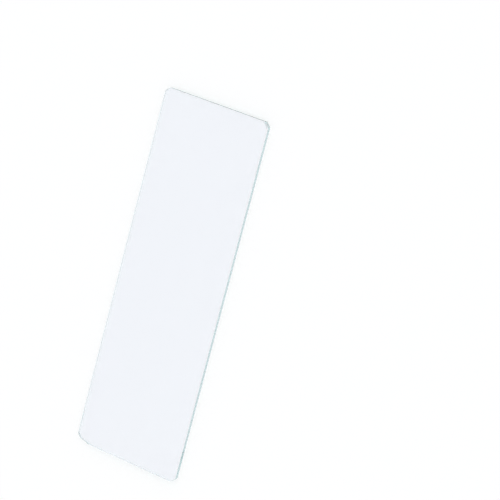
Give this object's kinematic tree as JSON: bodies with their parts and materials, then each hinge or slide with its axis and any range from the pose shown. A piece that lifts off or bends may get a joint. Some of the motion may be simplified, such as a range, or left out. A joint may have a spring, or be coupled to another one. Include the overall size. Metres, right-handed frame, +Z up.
{
  "type": "microscope slide",
  "caption": "Flat rectangular glass plate with clipped corners and ground edges, which carries a specimen on a microscope stage.",
  "frame": {"origin": "centre of the underside of the plate", "axes": "+X along the length, +Y across the width, +Z up out of the specimen face"},
  "size_m": [0.0762, 0.0254, 0.0011],
  "materials": {
    "clear_glass": "two polished faces with satin ground edges, clear with a faint green tint"
  },
  "bodies": {
    "root": {"slide": "clear_glass"}
  },
  "joints": []
}
